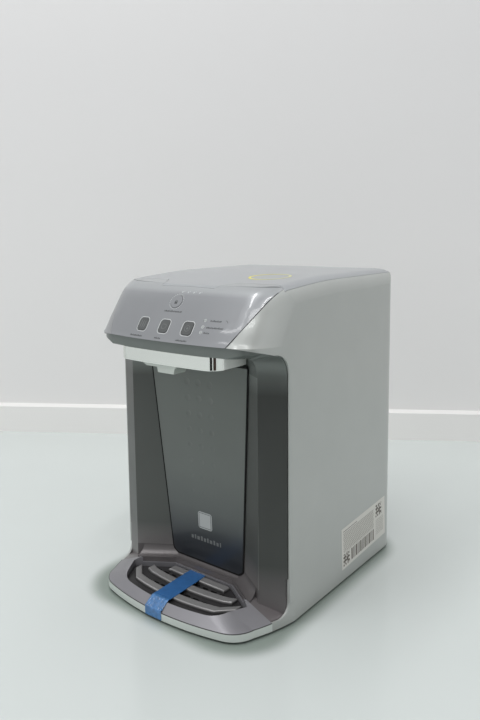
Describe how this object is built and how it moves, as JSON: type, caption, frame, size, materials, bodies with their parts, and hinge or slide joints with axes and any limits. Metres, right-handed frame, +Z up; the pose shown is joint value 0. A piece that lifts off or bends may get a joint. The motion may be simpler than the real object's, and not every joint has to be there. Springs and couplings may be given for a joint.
{
  "type": "countertop water dispenser",
  "caption": "Countertop water dispenser with a sloping key panel, an open niche with a spout above a slatted drip tray, and tall plain side covers.",
  "frame": {"origin": "on the floor, below the middle of the width and of the depth", "axes": "+Z up, the niche and the keys face -Y, +X on the right when seen from the front"},
  "size_m": [0.2602, 0.3556, 0.391],
  "materials": {
    "cover_shell": "satin",
    "panel_shell": "satin",
    "niche_plastic": "satin",
    "cover_plastic": "gloss",
    "tray_plastic": "satin",
    "grille_plastic": "satin",
    "rim_plastic": "satin",
    "plated": "mirror",
    "nozzle_plastic": "satin",
    "key_plastic": "matte",
    "lens": "gloss",
    "board": "matte",
    "tape": "satin",
    "label": "matte",
    "sticker": "matte",
    "inner_plastic": "matte",
    "cartridge": "gloss",
    "foam": "matte",
    "steel": "brushed",
    "aluminium": "satin",
    "ceramic": "matte",
    "fan_plastic": "matte",
    "tubing": "satin",
    "fitting_plastic": "satin",
    "dark_rubber": "matte"
  },
  "bodies": {
    "body": {"base_pan": "inner_plastic", "bypass_tube": "tubing", "chassis": "steel", "cold_block": "aluminium", "cold_tank": "steel", "cold_tube": "tubing", "control_board": "board", "control_panel": "panel_shell", "cord_gland": "dark_rubber", "drain_fitting": "fitting_plastic", "drain_tube": "tubing", "fan_frame": "fan_plastic", "feed_tube": "tubing", "filter_bay": "inner_plastic", "filter_head": "inner_plastic", "filtered_tube": "tubing", "foot_1": "dark_rubber", "foot_2": "dark_rubber", "foot_3": "dark_rubber", "foot_4": "dark_rubber", "heat_sink": "aluminium", "inlet_fitting": "fitting_plastic", "lamp_lenses": "lens", "niche_fascia": "niche_plastic", "power_board": "board", "pressure_regulator": "fitting_plastic", "rear_panel": "inner_plastic", "rear_screws": "steel", "side_cover_left": "cover_shell", "side_cover_right": "cover_shell", "side_label": "label", "spout_housing": "plated", "spout_nozzle": "nozzle_plastic", "spout_tube": "tubing", "supply_tube": "tubing", "tank_foam_lower": "foam", "tank_foam_upper": "foam", "tank_lid": "inner_plastic", "tank_tube": "tubing", "temperature_probe": "steel", "thermoelectric_module": "ceramic", "tube_tee": "fitting_plastic", "water_valves": "fitting_plastic"},
    "tray": {"drip_tray": "tray_plastic", "tray_rim": "rim_plastic"},
    "grille": {"drip_grille": "grille_plastic", "shipping_tape": "tape"},
    "cover": {"front_cover": "cover_plastic", "cover_badge": "cover_plastic"},
    "top": {"lid": "cover_shell", "lid_sticker": "sticker"},
    "key_left": {"key_1": "key_plastic"},
    "key_middle": {"key_2": "key_plastic"},
    "key_right": {"key_3": "key_plastic"},
    "key_lock": {"lock_key": "key_plastic"},
    "cartridge": {"filter_cartridge": "cartridge"},
    "rotor": {"fan_rotor": "fan_plastic"},
    "plug": {"drain_plug": "fitting_plastic"}
  },
  "joints": [
    {"name": "tray_slide", "type": "slide", "parent": "body", "child": "tray", "axis": [0, -1, 0], "range_m": [0, 0.1]},
    {"name": "grille_lift", "type": "slide", "parent": "tray", "child": "grille", "axis": [0, 0, 1], "range_m": [0, 0.04]},
    {"name": "cover_pull", "type": "slide", "parent": "body", "child": "cover", "axis": [0, -1, 0], "range_m": [0, 0.02]},
    {"name": "lid_lift", "type": "slide", "parent": "body", "child": "top", "axis": [0, 0, 1], "range_m": [0, 0.06]},
    {"name": "key_left_press", "type": "slide", "parent": "body", "child": "key_left", "axis": [0, 0.8231, -0.5678], "range_m": [0, 0.0008], "stiffness_N_per_m": 500},
    {"name": "key_middle_press", "type": "slide", "parent": "body", "child": "key_middle", "axis": [0, 0.8231, -0.5678], "range_m": [0, 0.0008], "stiffness_N_per_m": 500},
    {"name": "key_right_press", "type": "slide", "parent": "body", "child": "key_right", "axis": [0, 0.8231, -0.5678], "range_m": [0, 0.0008], "stiffness_N_per_m": 500},
    {"name": "key_lock_press", "type": "slide", "parent": "body", "child": "key_lock", "axis": [0, 0.8231, -0.5678], "range_m": [0, 0.0008], "stiffness_N_per_m": 500},
    {"name": "cartridge_turn", "type": "hinge", "parent": "body", "child": "cartridge", "pos_m": [0, -0.036, 0.15], "axis": [0, 0, 1], "range_deg": [0, 90]},
    {"name": "fan_spin", "type": "hinge", "parent": "body", "child": "rotor", "pos_m": [0, 0.15, 0.262], "axis": [0, 1, 0], "continuous": true},
    {"name": "plug_pull", "type": "slide", "parent": "body", "child": "plug", "axis": [0, 1, 0], "range_m": [0, 0.02]}
  ]
}
